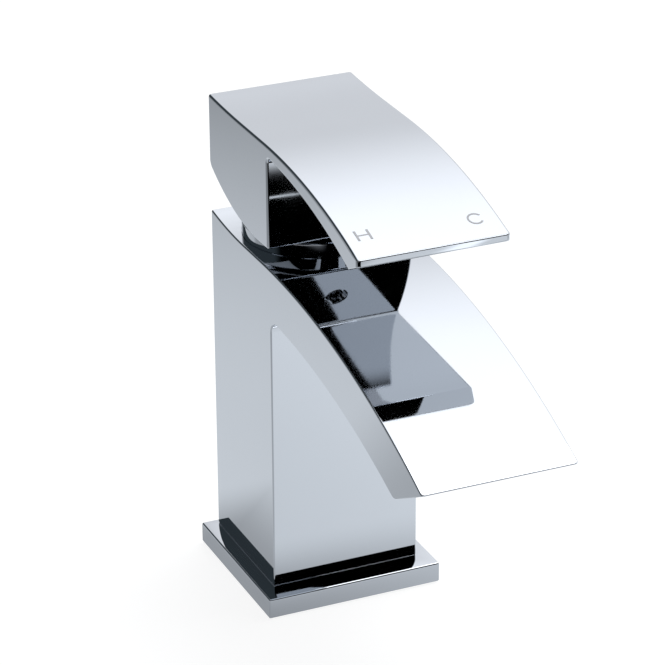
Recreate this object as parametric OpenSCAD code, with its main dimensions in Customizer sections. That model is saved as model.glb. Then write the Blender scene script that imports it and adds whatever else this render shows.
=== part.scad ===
// Single-lever basin mixer tap. Millimetres, +Z up. The origin is on the deck,
// under the upright axis that the lever swings about. The spout points to -Y.

/* [Base plate] */
// How far the base plate reaches past the column at each side
side_margin = 4.1; // [2:0.1:9]
// How far the base plate reaches past the column in front
front_margin = 6.2; // [3:0.1:10]
// How far the base plate reaches past the column at the back
back_margin = 2.2; // [1.8:0.1:6]
// Thickness of the base plate
plate_h = 6; // [5:0.5:10]
// Bore through the base plate for the hoses and the stud
throat_d = 32; // [30:0.5:33]
// Width of the rubber gasket under the base plate
gasket_w = 2.4; // [2:0.1:2.8]
// Thickness of the rubber gasket
gasket_h = 1.4; // [1:0.1:2.5]
// How far the gasket stands out below the base plate
gasket_proud = 0.4; // [0.2:0.1:0.8]
// From the edge of the base plate to the gasket
gasket_inset = 1.4; // [1:0.1:1.8]

/* [Column and spout] */
// Width of the column and the spout
column_w = 41.8; // [40:0.2:44]
// Depth of the column
column_d = 39.8; // [38:0.1:42]
// Height of the column's flat top above the deck
column_top = 98.2; // [94:0.2:120]
// Rounding of the lip's two corners, seen from above
lip_round = 4; // [1:0.1:5]
// How far the lip lies in front of the swing axis
spout_reach = 110.4; // [98:0.2:130]
// Radius of the spout's top, seen from the side
spout_arc_r = 226; // [200:1:280]
// How far in front of the axis the flat top starts to fall
spout_start = 13; // [8:0.5:18]
// Thickness of the spout
spout_t = 13.9; // [13:0.1:18]
// Slope of the undercut end face
cut_angle = 27; // [15:1:40]
// Rounding between the underside of the spout and its end face
tip_round = 3; // [1:0.1:5]
// Cove between the column and the underside of the spout
cove_r = 3.5; // [1:0.1:8]
// Radius of the upward sweep behind the collar, seen from the side
sweep_r = 130; // [110:1:300]
// How far in front of the axis the top starts to rise to the back
sweep_start = 2; // [0:0.5:6]
// Rounding of the upper back edge
back_round = 0.4; // [0.3:0.1:1]
// Height of the locating spigot under the column
spigot_h = 3; // [2:0.1:4]

/* [Waterways] */
// Bore of each inlet channel
inlet_d = 5.2; // [4.6:0.1:6]
// Ceramic between an inlet port and the rim of the fixed disc
port_rim = 0.75; // [0.6:0.05:1]
// Inlet ports, turned forward from the left-right line
port_turn = 34; // [28:1:38]
// Core diameter of the hose threads
hose_d = 9; // [8:0.1:10]
// Depth of the hose threads
hose_depth = 11; // [8:0.5:15]
// Core diameter of the fixing stud's thread
stud_d = 6.8; // [5:0.1:8]
// Depth of the fixing stud's thread
stud_depth = 16; // [10:0.5:25]
// Fixing stud, behind the axis
stud_y = 9; // [8.5:0.1:10]
// Outlet port of the cartridge, behind the axis
drain_y = 3; // [2.5:0.1:3.5]
// Bore of the outlet port
drain_d = 5.2; // [4:0.1:5.6]
// Height of the cross channel under the cartridge
cross_h = 6; // [4:0.5:8]
// Metal between the cartridge seat and the cross channel
cross_roof = 5; // [4:0.5:8]
// Width of the riser in the column's front wall
riser_w = 16; // [12:0.5:18]
// Depth of the riser, front to back
riser_t = 3; // [2.5:0.1:3.2]
// Metal between the riser and the column's front
riser_wall = 1.95; // [1.8:0.05:2.2]
// Metal between the riser and the nut's bore
riser_roof = 1; // [0.8:0.1:2]
// Lean of the neck between riser and spout
neck_lean = 28.8; // [24:0.2:32]
// Metal at each side of the channel in the spout
passage_side = 7.9; // [5:0.1:10]
// Height of the channel in the spout
passage_t = 3.6; // [3:0.1:4]
// Metal under the channel in the spout
passage_floor = 5.4; // [5:0.1:5.8]

/* [Outlet] */
// Metal at each side of the outlet insert
outlet_side = 3.9; // [3.4:0.1:6]
// Depth of the outlet insert, front to back
outlet_d = 9; // [7:0.1:9.5]
// Thickness of the outlet insert
outlet_t = 2.8; // [2.4:0.1:3.2]
// How far the insert sits inside the end face
outlet_sunk = 0.6; // [0.3:0.1:1]
// Shift of the outlet away from the lip, from the face's middle
outlet_shift = 1.9; // [1.5:0.1:2.2]
// Thickness of the seal behind the insert
outlet_seal_t = 0.7; // [0.6:0.1:0.8]
// Width of the seal behind the insert
outlet_seal_w = 1.2; // [1:0.1:1.5]
// Depth of the chamber behind the seal
plenum_t = 2.2; // [1.8:0.1:2.4]
// Water slots across the insert
slot_count = 12; // [8:1:14]
// Rows of water slots
slot_rows = 2; // [1:1:3]
// Wall between the water slots
slot_wall = 0.8; // [0.6:0.1:1.2]
// Rim around the water slots
slot_rim = 1.2; // [1:0.1:1.5]

/* [Cartridge] */
// Bore for the cartridge
chamber_d = 25; // [24:0.1:26]
// Height of the cartridge from its seat to its flange
cartridge_h = 19.2; // [17:0.2:22]
// Thickness of the housing's floor
floor_t = 4; // [3.5:0.1:5]
// Wall of the housing
housing_wall = 1.1; // [1:0.1:1.3]
// Thickness of the housing's top flange
flange_t = 2.8; // [2:0.1:3.5]
// Thickness of the seal under the housing
base_seal_t = 1.2; // [1:0.1:1.4]
// Thickness of the seal under the fixed disc
disc_seal_t = 1; // [0.8:0.1:1.2]
// Thickness of the fixed disc
fixed_t = 3.5; // [3:0.1:4]
// Thickness of the moving disc
moving_t = 3; // [2.5:0.1:3.5]
// Room left around the moving disc at the ends of its travel
moving_room = 1; // [0.6:0.1:1.4]
// How far each flat of the moving disc lies inside its rim
moving_flat = 1; // [0.6:0.1:1.4]
// Depth of the mixing recess in the moving disc
recess_t = 1.8; // [1.2:0.1:2]
// Ceramic around the mixing recess
recess_rim = 1.9; // [1.5:0.1:2.4]
// Mixing recess, from the disc's middle to its straight side
recess_front = 2.9; // [2.6:0.1:3.2]
// Thickness of the disc carrier
carrier_t = 3; // [2.5:0.1:3.5]
// Diameter of the carrier's socket boss
boss_d = 8; // [7.4:0.1:8.4]
// Width of the two keys that hold the fixed disc
key_w = 3; // [2:0.1:4]
// How far the keys reach in from the housing's wall
key_t = 1; // [0.8:0.1:1.2]
// Diameter of the carrier's two pegs
peg_d = 2; // [1.6:0.1:2.4]
// Length of the carrier's pegs
peg_h = 1; // [0.6:0.1:1.2]

/* [Rotor and stem] */
// Depth of the lever's pivot pin below the column's flat top
pivot_down = 5.2; // [4.4:0.1:5.6]
// From the pivot pin down to the ball end
arm_l = 10; // [9.5:0.1:10.2]
// Diameter of the ball end
ball_d = 5.2; // [4.6:0.1:5.6]
// Diameter of the arm above the ball end
arm_d = 3.4; // [3:0.1:3.8]
// Width of the square stem
stem_w = 7; // [6.5:0.1:7.5]
// Metal of the lever above the end of the stem
stem_roof = 8; // [6:0.5:12]
// Stem below the pivot pin
stem_foot = 3.5; // [3.2:0.1:4]
// Diameter of the pivot pin
pin_d = 3; // [2.5:0.1:3.5]
// Width of the cap's ring around the rotor's neck
cap_w = 1.85; // [1.6:0.05:2.2]
// Height of the rotor's neck above the pivot pin
neck_h = 4; // [3:0.1:5]
// Thickness of the cap that holds the rotor
cap_t = 2.3; // [2:0.1:2.6]
// Section of the rotor's O-ring
rotor_ring_d = 1.5; // [1.2:0.1:1.7]
// From the rotor's shoulder down to its O-ring
rotor_ring_down = 2.5; // [2:0.1:3]
// How far the lever lifts
lift_max = 20; // [15:1:20]

/* [Nut and collar] */
// Step between the cartridge's bore and the retaining nut's bore
nut_step = 2.5; // [2.3:0.1:2.8]
// Depth of the retaining nut's bore
nut_depth = 12; // [11:0.1:13]
// Height of the nut's neck above the column
nut_neck_h = 3; // [2.6:0.1:3.2]
// Step between the nut's thread and its neck
nut_neck_step = 1.45; // [1:0.05:2]
// Room between the rotor's neck and the nut
nut_room = 0.6; // [0.4:0.1:1]
// Room between the rotor's neck and the wider bore at the top of the nut
nut_top_room = 2; // [1.5:0.1:2.5]
// Width of the nut's spanner slots
spanner_w = 3; // [2:0.1:4]
// Depth of the nut's spanner slots
spanner_t = 2.2; // [1:0.1:2.4]
// Section of the collar's friction ring
collar_ring_d = 1.3; // [1:0.1:1.5]
// Diameter of the collar
collar_d = 37.8; // [36:0.1:38.4]
// Height of the collar
collar_h = 4; // [3.8:0.1:4.2]
// Thickness of the collar's roof and dome
collar_wall = 1.2; // [1:0.1:1.6]
// Outer radius of the dome, about the pivot pin
dome_r = 15.2; // [14.6:0.1:15.4]
// Rounding of the collar's top edge
collar_round = 0.6; // [0.3:0.1:1.2]
// Half angle of the opening for the stem
dome_open = 40; // [38:0.5:44]

/* [Lever] */
// Width of the lever
lever_w = 41.1; // [38:0.1:44]
// Rounding of the lever's two front corners, seen from above
lever_round = 1.5; // [1:0.1:5]
// Height of the lever's flat top above the column's flat top
lever_up = 33.3; // [29:0.1:42]
// From the swing axis to the back of the lever
lever_back = 21.3; // [20:0.1:23]
// From the swing axis to the front of the block
block_front = 17.8; // [17:0.1:19]
// From the swing axis to the lever's lip
lever_reach = 73.2; // [60:0.2:85]
// Radius of the lever's top, seen from the side
lever_arc_r = 175; // [140:1:220]
// How far in front of the axis the lever's top starts to fall
lever_start = 15; // [5:0.5:20]
// Radius of the upward sweep at the back of the lever's top
lever_sweep_r = 330; // [250:5:600]
// Thickness of the lever's plate where it starts to fall
lever_t = 3.2; // [2.8:0.1:4]
// Radius of the lever's underside, seen from the side
under_arc_r = 143; // [125:1:190]
// How far in front of the axis the underside starts to fall
under_start = 12.4; // [8:0.1:15]
// Height of the blunt front face of the lip
lip_face = 1.8; // [1:0.1:2]
// Slope of the lip's undercut
lip_cut = 25; // [15:1:35]
// Fillet between the block and the lever's plate
block_fillet = 4; // [2:0.1:6]
// Radius of the block's underside, seen from the side
block_arc_r = 61.5; // [58:0.1:66]
// Least gap between the collar and the block's underside
block_gap = 0.6; // [0.5:0.1:3]
// How far in front of the axis the block is lowest
block_low_y = 12; // [9:0.1:13]
// Rounding of the block's lower back edge
block_round = 3; // [1:0.1:4]
// Gap between the dome and the lever's hollow
dome_gap = 0.8; // [0.5:0.1:1.2]
// Wall of the plastic bush around the stem
bush_wall = 1.5; // [1.2:0.1:2]
// Metal between the lever's hollow and the bush
bush_lift = 0.8; // [0.5:0.1:1.5]
// Diameter of the grub screw
grub_d = 5; // [4:0.5:5]
// Length of the grub screw
grub_l = 8; // [6:0.5:10]
// Height of the grub screw above the pivot pin
grub_up = 21; // [20.5:0.1:23]
// Hexagon socket of the grub screw, across corners
grub_hex = 2.9; // [2:0.1:3.2]
// Depth of the hexagon socket
grub_socket = 2.5; // [1.5:0.1:3]
// Wider mouth of the grub screw's hole
grub_mouth_d = 6.6; // [6:0.1:7.5]
// Depth of the wider mouth
grub_mouth = 1.6; // [1:0.1:3]

/* [Plate screws] */
// Diameter of the two plate screws
screw_d = 3; // [2.5:0.1:3.2]
// Head diameter of the plate screws
screw_head_d = 5.6; // [5:0.1:6]
// Head height of the plate screws
screw_head_h = 1.7; // [1.4:0.1:2]
// Length of the plate screws with their heads
screw_l = 13; // [10:0.5:18]
// Slot width in the screw heads
screw_slot_w = 0.8; // [0.6:0.1:1]
// Slot depth in the screw heads
screw_slot_t = 0.9; // [0.6:0.1:1]
// Metal between a plate screw's head and the flat seal
screw_gap = 0.8; // [0.6:0.1:1.2]
// Plate screws, turned back from the left-right line
screw_turn = 43; // [38:1:48]

/* [Seals] */
// Width of the flat seal between plate and column
joint_seal_w = 1.6; // [1.2:0.1:1.8]
// Thickness of the flat seal between plate and column
joint_seal_t = 1.2; // [1:0.1:2]

/* [Hidden] */
$fn = 96;
// Clearance of a piece that is fixed in its seat
fit = 0.15;
// Clearance of a piece that turns or slides
slide = 0.2;
// Radial clearance of a round shaft that turns in its bore
running = 0.05;
// Overrun of a cut past a face
over = 1;

plate_z = gasket_proud;
plate_top = plate_z + plate_h;
half_d = column_d / 2;
plate_w = column_w + 2 * side_margin;
plate_d = column_d + front_margin + back_margin;
plate_front = half_d + front_margin;
passage_w = column_w - 2 * passage_side;
outlet_w = column_w - 2 * outlet_side;

// Spout, seen from the side
arc_z = column_top - spout_arc_r;
under_r = spout_arc_r - spout_t;
function rise(r, y) = sqrt(r * r - y * y);
back_top = column_top + sweep_r - rise(sweep_r, half_d + sweep_start);
lip_z = arc_z + rise(spout_arc_r, spout_reach - spout_start);
lip = [-spout_reach, lip_z];
arc_c = [-spout_start, arc_z];
// Along the end face, away from the lip, and square into the metal
along = [cos(cut_angle), -sin(cut_angle)];
inward = [sin(cut_angle), cos(cut_angle)];
// Where a line from p along u first meets the circle of radius r about c
function hit(p, u, c, r) = let (q = p - c, b = q * u) -b - sqrt(b * b - q * q + r * r);
end_len = hit(lip, along, arc_c, under_r);
corner = lip + along * end_len;
tip_start = lip + inward * tip_round;
tip_c = tip_start + along * hit(tip_start, along, arc_c, under_r + tip_round);
cove_c = [-half_d - cove_r, arc_z + rise(under_r - cove_r, half_d + cove_r - spout_start)];
face_mid = lip + along * end_len / 2;
outlet_back = outlet_sunk + outlet_t + outlet_seal_t;
// Where the channel in the spout breaks into the chamber behind the outlet
mouth_y = face_mid[0] + along[0] * (outlet_shift + outlet_d / 2 - outlet_seal_w)
    + inward[0] * (outlet_back + plenum_t) - over;

// Cartridge heights, from its seat upwards
nut_seat = column_top - nut_depth;
seat_z = nut_seat - cartridge_h;
pivot_z = column_top - pivot_down;
housing_r = chamber_d / 2 - slide;
housing_in = housing_r - housing_wall;
floor_top = seat_z + floor_t;
fixed_top = floor_top + fixed_t;
moving_top = fixed_top + moving_t;
carrier_top = moving_top + carrier_t;
flange_top = nut_seat + flange_t;
ball_z = pivot_z - arm_l;
travel = arm_l * sin(lift_max);
moving_y = travel / 2;
rotor_r = housing_in - slide;
rotor_top = flange_top - cap_t - slide;
boss_top = ball_z + ball_d / 2 - slide;
disc_r = housing_in - fit;
port_r = disc_r - port_rim - inlet_d / 2;
inlet_x = port_r * cos(port_turn);
inlet_y = port_r * sin(port_turn);
moving_r = housing_in - moving_y - moving_room;
moving_w = 2 * (moving_r - moving_flat);
recess_r = moving_r - recess_rim;
neck_d = 2 * (disc_r - cap_w - slide);
// Groove of the rotor's O-ring
ring_r = housing_in - running - rotor_ring_d / 2;
ring_z = rotor_top - rotor_ring_down;

// Nut and collar
nut_bore_r = chamber_d / 2 + nut_step;
nut_r = nut_bore_r - fit;
nut_top = column_top + nut_neck_h;
nut_neck_r = nut_r - nut_neck_step;
neck_in = nut_neck_r + fit;
collar_ring_r = neck_in - running - collar_ring_d / 2;
collar_ring_z = column_top + nut_neck_h / 2;
collar_top = column_top + collar_h;

// Lever
lever_top = column_top + lever_up;
block_low = collar_top + block_gap;
lever_c = [-lever_start, lever_top - lever_arc_r];
under_c = [-under_start, lever_top - lever_t - under_arc_r];
block_c = [-block_low_y, block_low + block_arc_r];
lever_high = lever_top + lever_sweep_r - rise(lever_sweep_r, lever_back);
lip_top = lever_c[1] + rise(lever_arc_r, lever_reach - lever_start);
lever_cove = [-block_front - block_fillet,
    under_c[1] + rise(under_arc_r - block_fillet, block_front + block_fillet - under_start)];
heel_c = [lever_back - block_round,
    block_c[1] - rise(block_arc_r - block_round, lever_back - block_round + block_low_y)];
hollow_r = dome_r + dome_gap;
bush_z = pivot_z + hollow_r + bush_lift;
bush_w = stem_w + 2 * bush_wall;
stem_top = lever_top - stem_roof;
grub_z = pivot_z + grub_up;

spigot_r = throat_d / 2 - fit;
screw_r = throat_d / 2 + joint_seal_w + screw_gap + screw_head_d / 2;
screw_x = screw_r * cos(screw_turn);
screw_y = screw_r * sin(screw_turn);

// Side outlines are drawn with Y to the right and Z up, then spread along X
module across(w) {
    rotate([90, 0, 90]) linear_extrude(height = w, center = true) children();
}

// Keeps what lies in a plan from y0 back to y1, with two round corners at the front
module in_plan(w, y0, y1, r, z0, z1) {
    intersection() {
        children();
        translate([0, 0, z0]) linear_extrude(height = z1 - z0) {
            translate([-w / 2, y0 + r]) square([w, y1 - y0 - r]);
            translate([-w / 2 + r, y0]) square([w - 2 * r, y1 - y0]);
            for (s = [-1, 1]) translate([s * (w / 2 - r), y0 + r]) circle(r, $fn = 64);
        }
    }
}

// What rounding an outer corner takes away, or what a cove in an inner corner adds
module corner_web(c, t0, p, t1, r) {
    difference() {
        polygon([c, t0, p, t1]);
        translate(c) circle(r, $fn = 64);
    }
}

// What a flat top gains where it sweeps up from y0 to the back edge at y1
module swept_up(y0, y1, z0, z1, r) {
    difference() {
        translate([y0, z0 - over]) square([y1 - y0, z1 - z0 + over]);
        translate([y0, z0 + r]) circle(r, $fn = 360);
    }
}

module pair_x(x) {
    for (s = [-1, 1]) translate([s * x, 0, 0]) children();
}

module ports(r, z, h) {
    pair_x(inlet_x) translate([0, -inlet_y, z]) cylinder(r = r, h = h);
    translate([0, drain_y, z]) cylinder(r = r, h = h);
}

module ring(r_out, r_in, z, h) {
    translate([0, 0, z]) difference() {
        cylinder(r = r_out, h = h);
        translate([0, 0, -over]) cylinder(r = r_in, h = h + 2 * over);
    }
}

module o_ring(r, d, z) {
    translate([0, 0, z]) rotate_extrude() translate([r, 0]) circle(d / 2, $fn = 32);
}

module at_outlet() {
    translate([0, face_mid[0], face_mid[1]]) rotate([-cut_angle, 0, 0])
        translate([0, outlet_shift, 0]) children();
}

module body_outline() {
    tip_low = arc_c + (tip_c - arc_c) * under_r / (under_r + tip_round);
    cove_top = arc_c + (cove_c - arc_c) * under_r / (under_r - cove_r);
    difference() {
        union() {
            translate([-half_d, plate_top]) square([column_d, column_top - plate_top]);
            swept_up(-sweep_start, half_d, column_top, back_top, sweep_r);
            difference() {
                intersection() {
                    difference() {
                        translate(arc_c) circle(spout_arc_r, $fn = 360);
                        translate(arc_c) circle(under_r, $fn = 360);
                    }
                    polygon([lip - along * spout_t, lip + along * 2 * spout_t,
                        [-half_d, lip[1] - spout_t], [-spout_start, column_top - spout_t],
                        [-spout_start, column_top], [-spout_reach - spout_t, column_top]]);
                }
                corner_web(tip_c, tip_c - inward * tip_round, corner - inward * over,
                    tip_low + [0, -over], tip_round);
            }
            corner_web(cove_c, [-half_d, cove_c[1]], [-half_d, cove_top[1] + over], cove_top, cove_r);
        }
        corner_web([half_d - back_round, back_top - back_round],
            [half_d - back_round, back_top + over], [half_d + over, back_top + over],
            [half_d + over, back_top - back_round], back_round);
    }
}

module waterways() {
    low = plate_top - spigot_h;
    cross_z = seat_z - cross_roof - cross_h;
    riser_y = -half_d + riser_wall;
    neck_low = [riser_y + riser_t / 2, nut_seat - riser_roof - riser_t];
    neck_l = (arc_z + under_r + passage_floor + passage_t / 2 - neck_low[1]) / cos(neck_lean);
    pair_x(inlet_x) translate([0, -inlet_y, low - over]) {
        cylinder(d = inlet_d, h = seat_z - low + 2 * over);
        cylinder(d = hose_d, h = hose_depth + over);
    }
    translate([0, stud_y, low - over]) cylinder(d = stud_d, h = stud_depth + over);
    translate([0, drain_y, cross_z + cross_h / 2])
        cylinder(d = drain_d, h = cross_roof + cross_h / 2 + over);
    translate([-drain_d / 2, riser_y, cross_z])
        cube([drain_d, drain_y + drain_d / 2 - riser_y, cross_h]);
    translate([-riser_w / 2, riser_y, cross_z])
        cube([riser_w, riser_t, neck_low[1] - cross_z]);
    translate([0, neck_low[0], neck_low[1]]) rotate([neck_lean, 0, 0])
        translate([-riser_w / 2, -riser_t / 2, -riser_t / 2])
            cube([riser_w, riser_t, neck_l + riser_t / 2]);
    across(passage_w) intersection() {
        difference() {
            translate(arc_c) circle(under_r + passage_floor + passage_t, $fn = 360);
            translate(arc_c) circle(under_r + passage_floor, $fn = 360);
        }
        translate([mouth_y, lip[1] - spout_t])
            square([-mouth_y - half_d, column_top - lip[1] + spout_t]);
    }
}

module body_casting() color("silver") difference() {
    union() {
        in_plan(column_w, -spout_reach, half_d, lip_round, plate_top, back_top)
            across(2 * column_w) body_outline();
        translate([0, 0, plate_top - spigot_h]) cylinder(r = spigot_r, h = spigot_h + over);
    }
    waterways();
    translate([0, 0, seat_z]) cylinder(d = chamber_d, h = column_top);
    translate([0, 0, nut_seat]) cylinder(r = nut_bore_r, h = column_top);
    translate([0, 0, column_top]) cylinder(r = collar_d / 2 + fit, h = column_top);
    translate([0, 0, plate_top - spigot_h]) ring(spigot_r + fit + joint_seal_w, spigot_r, 0,
        spigot_h + joint_seal_t);
    for (s = [-1, 1]) translate([s * screw_x, s * screw_y, plate_top - over])
        cylinder(d = screw_d, h = screw_l - plate_h + 2 * over);
    at_outlet() {
        translate([-outlet_w / 2 - fit, -outlet_d / 2 - fit, -over])
            cube([outlet_w + 2 * fit, outlet_d + 2 * fit, outlet_back + over]);
        translate([-outlet_w / 2 + outlet_seal_w, -outlet_d / 2 + outlet_seal_w, 0])
            cube([outlet_w - 2 * outlet_seal_w, outlet_d - 2 * outlet_seal_w,
                outlet_back + plenum_t]);
    }
}

module base_plate() color("gainsboro") difference() {
    translate([-plate_w / 2, -plate_front, plate_z]) cube([plate_w, plate_d, plate_h]);
    translate([0, 0, plate_z - over]) cylinder(d = throat_d, h = plate_h + 2 * over);
    difference() {
        gasket_block(gasket_inset, plate_z - over, gasket_h - gasket_proud + over);
        gasket_block(gasket_inset + gasket_w, plate_z - 2 * over,
            gasket_h - gasket_proud + 3 * over);
    }
    for (s = [-1, 1]) translate([s * screw_x, s * screw_y, plate_z]) {
        translate([0, 0, -over]) cylinder(d = screw_d + 2 * fit, h = plate_h + 2 * over);
        screw_head(fit);
    }
}

module gasket_block(inset, z, h) {
    translate([-plate_w / 2 + inset, -plate_front + inset, z])
        cube([plate_w - 2 * inset, plate_d - 2 * inset, h]);
}

module base_gasket() color("dimgray") difference() {
    gasket_block(gasket_inset, 0, gasket_h);
    gasket_block(gasket_inset + gasket_w, -over, gasket_h + 2 * over);
}

module joint_seal() color("black")
    ring(spigot_r + fit + joint_seal_w, spigot_r + fit, plate_top, joint_seal_t);

module screw_head(gap) {
    cylinder(r1 = screw_head_d / 2 + gap, r2 = screw_d / 2 + gap, h = screw_head_h);
}

module plate_screws() color("darkgray")
    for (s = [-1, 1]) translate([s * screw_x, s * screw_y, plate_z]) difference() {
        union() {
            screw_head(0);
            cylinder(d = screw_d, h = screw_l);
        }
        translate([-screw_head_d, -screw_slot_w / 2, -over])
            cube([2 * screw_head_d, screw_slot_w, screw_slot_t + over]);
    }

module cartridge_housing() color("white") {
    difference() {
        union() {
            translate([0, 0, seat_z]) cylinder(r = housing_r, h = flange_top - seat_z);
            translate([0, 0, nut_seat]) cylinder(r = nut_r, h = flange_t);
        }
        translate([0, 0, floor_top]) cylinder(r = housing_in, h = flange_top);
        translate([0, 0, seat_z - over]) cylinder(r = housing_in, h = base_seal_t + over);
        translate([0, 0, floor_top - disc_seal_t])
            cylinder(r = disc_r - key_t - fit, h = disc_seal_t + over);
        ports(drain_d / 2, seat_z - over, floor_t + 2 * over);
    }
    keys(0);
}

module keys(gap) {
    for (a = [0, 180]) rotate([0, 0, a]) intersection() {
        translate([-key_w / 2 - gap, housing_in - key_t - gap, floor_top])
            cube([key_w + 2 * gap, 2 * key_t, fixed_t - key_t]);
        cylinder(r = housing_in + housing_wall / 2, h = fixed_top);
    }
}

module base_seal() color("black") difference() {
    translate([0, 0, seat_z]) cylinder(r = housing_in - fit, h = base_seal_t);
    ports(drain_d / 2, seat_z - over, base_seal_t + 2 * over);
}

module disc_seal() color("black") difference() {
    translate([0, 0, floor_top - disc_seal_t])
        cylinder(r = disc_r - key_t - 2 * fit, h = disc_seal_t);
    ports(drain_d / 2, floor_top - disc_seal_t - over, disc_seal_t + 2 * over);
}

module fixed_disc() color("ivory") difference() {
    translate([0, 0, floor_top]) cylinder(r = disc_r, h = fixed_t);
    ports(drain_d / 2, floor_top - over, fixed_t + 2 * over);
    for (a = [0, 180]) rotate([0, 0, a])
        translate([-key_w / 2 - fit, housing_in - key_t - fit, floor_top - over])
            cube([key_w + 2 * fit, 2 * key_t, fixed_t - key_t + fit + over]);
}

module slider(z, h) {
    translate([0, moving_y, z]) intersection() {
        cylinder(r = moving_r, h = h);
        translate([-moving_w / 2, -chamber_d, -over])
            cube([moving_w, 2 * chamber_d, h + 2 * over]);
    }
}

module moving_disc() color("ivory") difference() {
    slider(fixed_top, moving_t);
    translate([0, moving_y, fixed_top - over]) intersection() {
        cylinder(r = recess_r, h = recess_t + over);
        translate([-recess_r, -recess_front, 0]) cube([2 * recess_r, 2 * recess_r, moving_t]);
    }
    pair_x(moving_w / 2 - peg_d) translate([0, moving_y, moving_top - peg_h])
        cylinder(d = peg_d + fit, h = peg_h + over);
}

module disc_carrier() color("lightsteelblue") difference() {
    union() {
        slider(moving_top, carrier_t);
        translate([0, 0, carrier_top - over]) cylinder(d = boss_d, h = boss_top - carrier_top + over);
        pair_x(moving_w / 2 - peg_d) translate([0, moving_y, moving_top - peg_h])
            cylinder(d = peg_d, h = peg_h + over);
    }
    translate([0, 0, ball_z - ball_d / 2 - slide])
        cylinder(r = ball_d / 2 + running, h = ball_d + over);
}

module rotor() color("steelblue") difference() {
    low = fixed_top + 2 * slide;
    union() {
        translate([0, 0, low]) cylinder(r = rotor_r, h = rotor_top - low);
        translate([0, 0, low]) cylinder(d = neck_d, h = pivot_z + neck_h - low);
    }
    translate([-moving_w / 2 - slide, -chamber_d, low - over])
        cube([moving_w + 2 * slide, 2 * chamber_d, carrier_top + slide - low + over]);
    translate([-boss_d / 2 - slide, -travel - boss_d / 2 - slide, carrier_top])
        cube([boss_d + 2 * slide, travel + boss_d + 2 * slide,
            boss_top + slide - carrier_top]);
    translate([-stem_w / 2 - slide, -stem_slot(), carrier_top])
        cube([stem_w + 2 * slide, 2 * stem_slot(), pivot_z]);
    translate([-neck_d, 0, pivot_z]) rotate([0, 90, 0])
        cylinder(d = pin_d, h = 2 * neck_d);
    ring(chamber_d, ring_r - rotor_ring_d / 2 - running, ring_z - rotor_ring_d / 2 - running,
        rotor_ring_d + 2 * running);
}

// Half length of the slot that the stem tilts in
function stem_slot() = neck_h * sin(lift_max) + stem_w / 2 / cos(lift_max) + 2 * slide;

module rotor_ring() color("black") o_ring(ring_r, rotor_ring_d, ring_z);

module housing_cap() color("gray")
    ring(housing_in - fit, neck_d / 2 + slide, flange_top - cap_t, cap_t);

module pivot_pin() color("silver")
    translate([-neck_d / 2 + slide, 0, pivot_z]) rotate([0, 90, 0])
        cylinder(d = pin_d, h = neck_d - 2 * slide);

module stem() color("goldenrod") difference() {
    union() {
        translate([-stem_w / 2, -stem_w / 2, pivot_z - stem_foot])
            cube([stem_w, stem_w, stem_foot + stem_top - pivot_z]);
        translate([0, 0, ball_z]) cylinder(d = arm_d, h = arm_l);
        translate([0, 0, ball_z]) sphere(d = ball_d, $fn = 48);
    }
    translate([-stem_w, 0, pivot_z]) rotate([0, 90, 0])
        cylinder(r = pin_d / 2 + running, h = 2 * stem_w);
}

module retaining_nut() color("goldenrod") difference() {
    union() {
        translate([0, 0, flange_top]) cylinder(r = nut_r, h = column_top - flange_top);
        translate([0, 0, flange_top]) cylinder(r = nut_neck_r, h = nut_top - flange_top);
    }
    translate([0, 0, flange_top - over]) cylinder(d = neck_d + 2 * nut_room, h = nut_top);
    translate([0, 0, pivot_z + neck_h / 2]) cylinder(d = neck_d + 2 * nut_top_room, h = nut_top);
    ring(chamber_d, collar_ring_r - collar_ring_d / 2 - running,
        collar_ring_z - collar_ring_d / 2 - running, collar_ring_d + 2 * running);
    translate([-chamber_d, -spanner_w / 2, nut_top - spanner_t])
        cube([2 * chamber_d, spanner_w, spanner_t + over]);
}

module collar_ring() color("black") o_ring(collar_ring_r, collar_ring_d, collar_ring_z);

module collar() color("silver") difference() {
    dome_top = pivot_z + dome_r * cos(dome_open);
    union() {
        rotate_extrude() {
            translate([0, column_top]) square([collar_d / 2, collar_h - collar_round]);
            translate([0, column_top]) square([collar_d / 2 - collar_round, collar_h]);
            translate([collar_d / 2 - collar_round, collar_top - collar_round])
                circle(collar_round, $fn = 48);
        }
        intersection() {
            translate([0, 0, pivot_z]) sphere(r = dome_r);
            translate([0, 0, column_top]) cylinder(r = dome_r, h = dome_top - column_top);
        }
    }
    translate([0, 0, column_top - over]) cylinder(r = neck_in, h = nut_neck_h + fit + over);
    intersection() {
        translate([0, 0, pivot_z]) sphere(r = dome_r - collar_wall);
        translate([0, 0, column_top]) cylinder(r = dome_r, h = dome_r);
    }
    translate([0, 0, column_top]) cylinder(r = dome_r * sin(dome_open), h = dome_r);
}

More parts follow.
